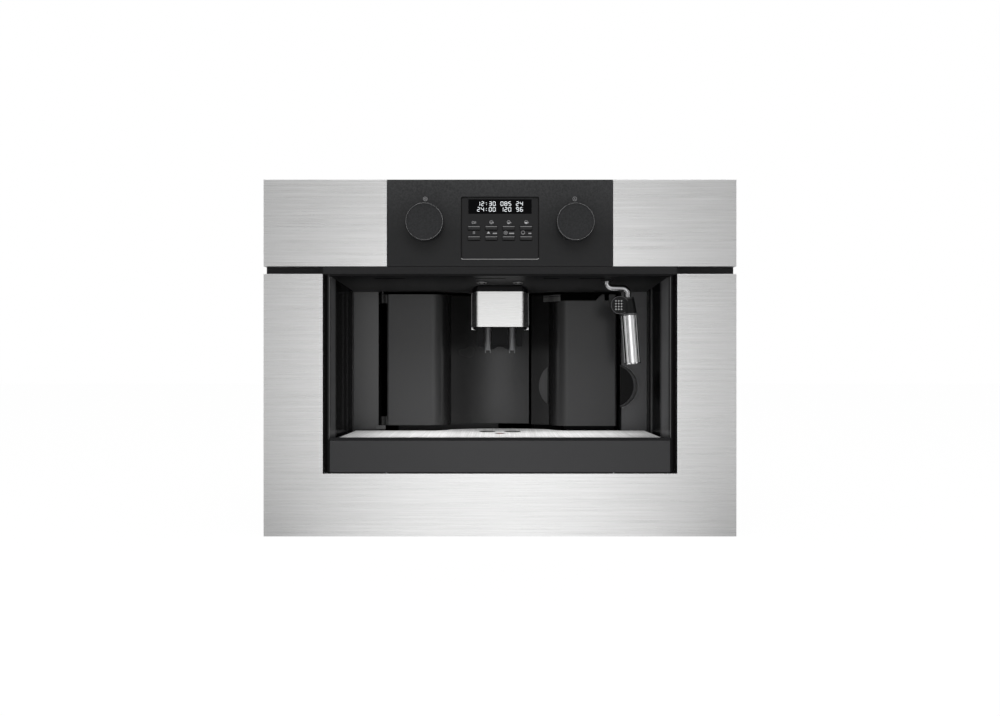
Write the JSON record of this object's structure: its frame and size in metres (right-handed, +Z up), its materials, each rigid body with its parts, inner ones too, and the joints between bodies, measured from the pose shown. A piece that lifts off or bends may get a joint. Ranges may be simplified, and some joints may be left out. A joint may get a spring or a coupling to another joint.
{
  "type": "built in coffee machine",
  "caption": "Built-in bean-to-cup coffee machine with steel fascia, round knobs, display, height-adjustable spout on a hinged door, water tank, drip tray and steam wand, on pull-out slides.",
  "frame": {"origin": "point on the plane where the fascia's back meets the cabinet front, at the middle of the width and at the fascia's lower edge", "axes": "+X to the machine's right as seen from the room, +Y from the room into the cabinet, +Z up"},
  "size_m": [0.595, 0.4305, 0.449],
  "materials": {
    "rail": "zinc plated",
    "case": "galvanised sheet",
    "black_plastic": "fine grain",
    "frame_plastic": "fine grain",
    "steel": "brushed",
    "panel": "satin black",
    "bezel": "satin",
    "display": "black, clear coated",
    "board": "circuit board",
    "key": "satin",
    "gloss": "polished",
    "lens": "frosted",
    "satin": "satin dark grey",
    "pin_steel": "turned",
    "nozzle": "satin",
    "clear": "smoky clear plastic",
    "tray_plastic": "satin",
    "float_red": "satin",
    "chrome": "polished",
    "boiler_steel": "drawn",
    "pump_metal": "satin"
  },
  "bodies": {
    "root_rails": {"cabinet_rails": "rail"},
    "slide_rails": {"middle_rails": "rail"},
    "door": {"service_door": "satin"},
    "spout": {"spout_body": "black_plastic", "spout_cover": "steel", "spout_nozzles": "nozzle"},
    "tray": {"drip_tray": "tray_plastic", "tray_front": "satin"},
    "grille": {"cup_grille": "steel"},
    "float": {"tray_float": "float_red"},
    "tank": {"water_tank": "clear", "tank_cover": "satin", "tank_lid": "black_plastic"},
    "wand": {"wand_tube": "chrome", "wand_grip": "black_plastic", "wand_sleeve": "chrome"},
    "left_knob": {"knob_left": "panel"},
    "right_knob": {"knob_right": "panel"},
    "hopper_door": {"hopper_lid": "black_plastic"},
    "funnel_door": {"funnel_lid": "black_plastic"},
    "dial": {"grind_dial": "black_plastic"},
    "button_1": {"key_1": "key"},
    "button_2": {"key_2": "key"},
    "button_3": {"key_3": "key"},
    "button_4": {"key_4": "key"},
    "button_5": {"key_5": "key"},
    "button_6": {"key_6": "key"},
    "button_7": {"key_7": "key"},
    "button_8": {"key_8": "key"},
    "machine": {"inner_rails": "rail", "base_pan": "case", "side_panel_left": "case", "side_panel_right": "case", "rear_panel": "case", "top_cover": "case", "front_frame": "frame_plastic", "lower_fascia": "steel", "upper_fascia_left": "steel", "upper_fascia_right": "steel", "control_panel": "panel", "display_bezel": "bezel", "display_window": "display", "control_board": "board", "inner_deck": "frame_plastic", "bay_side_left": "gloss", "bay_side_right": "gloss", "bay_ceiling": "gloss", "lamp_lenses": "lens", "bay_rear_left": "satin", "bay_rear_right": "satin", "hinge_pins": "pin_steel", "bean_hopper": "clear", "grinder": "black_plastic", "brew_unit": "black_plastic", "grounds_container": "black_plastic", "boiler": "boiler_steel", "water_pump": "pump_metal", "power_board": "board", "inlet_socket": "black_plastic", "case_screws": "pin_steel"}
  },
  "joints": [
    {"name": "machine_slide", "type": "slide", "parent": "root_rails", "child": "machine", "axis": [0, -1, 0], "range_m": [0, 0.35]},
    {"name": "middle_slide", "type": "slide", "parent": "root_rails", "child": "slide_rails", "axis": [0, -1, 0], "range_m": [0, 0.175]},
    {"name": "door_hinge", "type": "hinge", "parent": "machine", "child": "door", "pos_m": [-0.164, 0.092, 0.222], "axis": [0, 0, -1], "range_deg": [0, 95]},
    {"name": "spout_slide", "type": "slide", "parent": "door", "child": "spout", "axis": [0, 0, -1], "range_m": [0, 0.035]},
    {"name": "tray_slide", "type": "slide", "parent": "machine", "child": "tray", "axis": [0, -1, 0], "range_m": [0, 0.12]},
    {"name": "grille_lift", "type": "slide", "parent": "tray", "child": "grille", "axis": [0, 0, -1], "range_m": [-0.03, 0]},
    {"name": "float_rise", "type": "slide", "parent": "tray", "child": "float", "axis": [0, 0, 1], "range_m": [0, 0.006]},
    {"name": "tank_slide", "type": "slide", "parent": "machine", "child": "tank", "axis": [0, -1, 0], "range_m": [0, 0.045]},
    {"name": "wand_swivel", "type": "hinge", "parent": "machine", "child": "wand", "pos_m": [0.1385, 0.01, 0.322], "axis": [0, 0, -1], "range_deg": [-15, 90]},
    {"name": "left_knob_turn", "type": "hinge", "parent": "machine", "child": "left_knob", "pos_m": [-0.094, -0.025, 0.394], "axis": [0, -1, 0], "continuous": true},
    {"name": "right_knob_turn", "type": "hinge", "parent": "machine", "child": "right_knob", "pos_m": [0.094, -0.025, 0.394], "axis": [0, -1, 0], "continuous": true},
    {"name": "hopper_lid_hinge", "type": "hinge", "parent": "machine", "child": "hopper_door", "pos_m": [-0.12, 0.352, 0.4403], "axis": [-1, 0, 0], "range_deg": [0, 100]},
    {"name": "funnel_lid_hinge", "type": "hinge", "parent": "machine", "child": "funnel_door", "pos_m": [-0.004, 0.352, 0.4403], "axis": [-1, 0, 0], "range_deg": [0, 100]},
    {"name": "dial_turn", "type": "hinge", "parent": "machine", "child": "dial", "pos_m": [-0.012, 0.23, 0.44], "axis": [0, 0, 1], "range_deg": [-150, 150]},
    {"name": "key_1_press", "type": "slide", "parent": "machine", "child": "button_1", "axis": [0, 1, 0], "range_m": [0, 0.0008], "stiffness_N_per_m": 1500},
    {"name": "key_2_press", "type": "slide", "parent": "machine", "child": "button_2", "axis": [0, 1, 0], "range_m": [0, 0.0008], "stiffness_N_per_m": 1500},
    {"name": "key_3_press", "type": "slide", "parent": "machine", "child": "button_3", "axis": [0, 1, 0], "range_m": [0, 0.0008], "stiffness_N_per_m": 1500},
    {"name": "key_4_press", "type": "slide", "parent": "machine", "child": "button_4", "axis": [0, 1, 0], "range_m": [0, 0.0008], "stiffness_N_per_m": 1500},
    {"name": "key_5_press", "type": "slide", "parent": "machine", "child": "button_5", "axis": [0, 1, 0], "range_m": [0, 0.0008], "stiffness_N_per_m": 1500},
    {"name": "key_6_press", "type": "slide", "parent": "machine", "child": "button_6", "axis": [0, 1, 0], "range_m": [0, 0.0008], "stiffness_N_per_m": 1500},
    {"name": "key_7_press", "type": "slide", "parent": "machine", "child": "button_7", "axis": [0, 1, 0], "range_m": [0, 0.0008], "stiffness_N_per_m": 1500},
    {"name": "key_8_press", "type": "slide", "parent": "machine", "child": "button_8", "axis": [0, 1, 0], "range_m": [0, 0.0008], "stiffness_N_per_m": 1500}
  ],
  "couplings": [
    {"joint": "middle_slide", "follows": "machine_slide", "ratio": 0.5}
  ]
}
